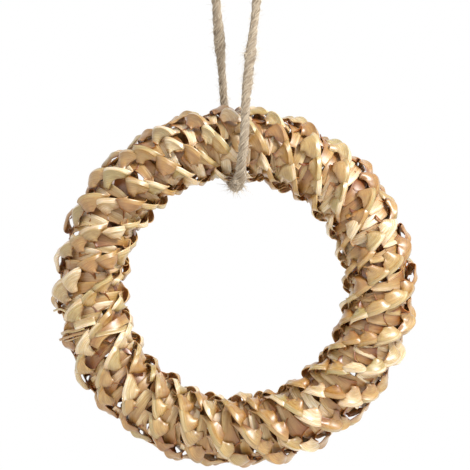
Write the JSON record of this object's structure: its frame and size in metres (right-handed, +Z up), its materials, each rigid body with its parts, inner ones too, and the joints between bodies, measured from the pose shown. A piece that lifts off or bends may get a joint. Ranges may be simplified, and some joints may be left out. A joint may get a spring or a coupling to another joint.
{
  "type": "straw ornament",
  "caption": "Plaited straw ring ornament with a loop of jute twine to hang it by, tied behind the ring.",
  "frame": {"origin": "inside of the top of the hanging loop, where the twine rests on its peg", "axes": "+Z up, the ring's front faces -Y and +X is to the right seen from the front"},
  "size_m": [0.1496, 0.0438, 0.2081],
  "materials": {
    "straw": "satin",
    "jute": "matte"
  },
  "bodies": {
    "root": {"straw_strand_1": "straw", "straw_strand_2": "straw", "straw_strand_3": "straw", "straw_strand_4": "straw", "jute_hanger": "jute", "hanger_knot": "jute"}
  },
  "joints": []
}
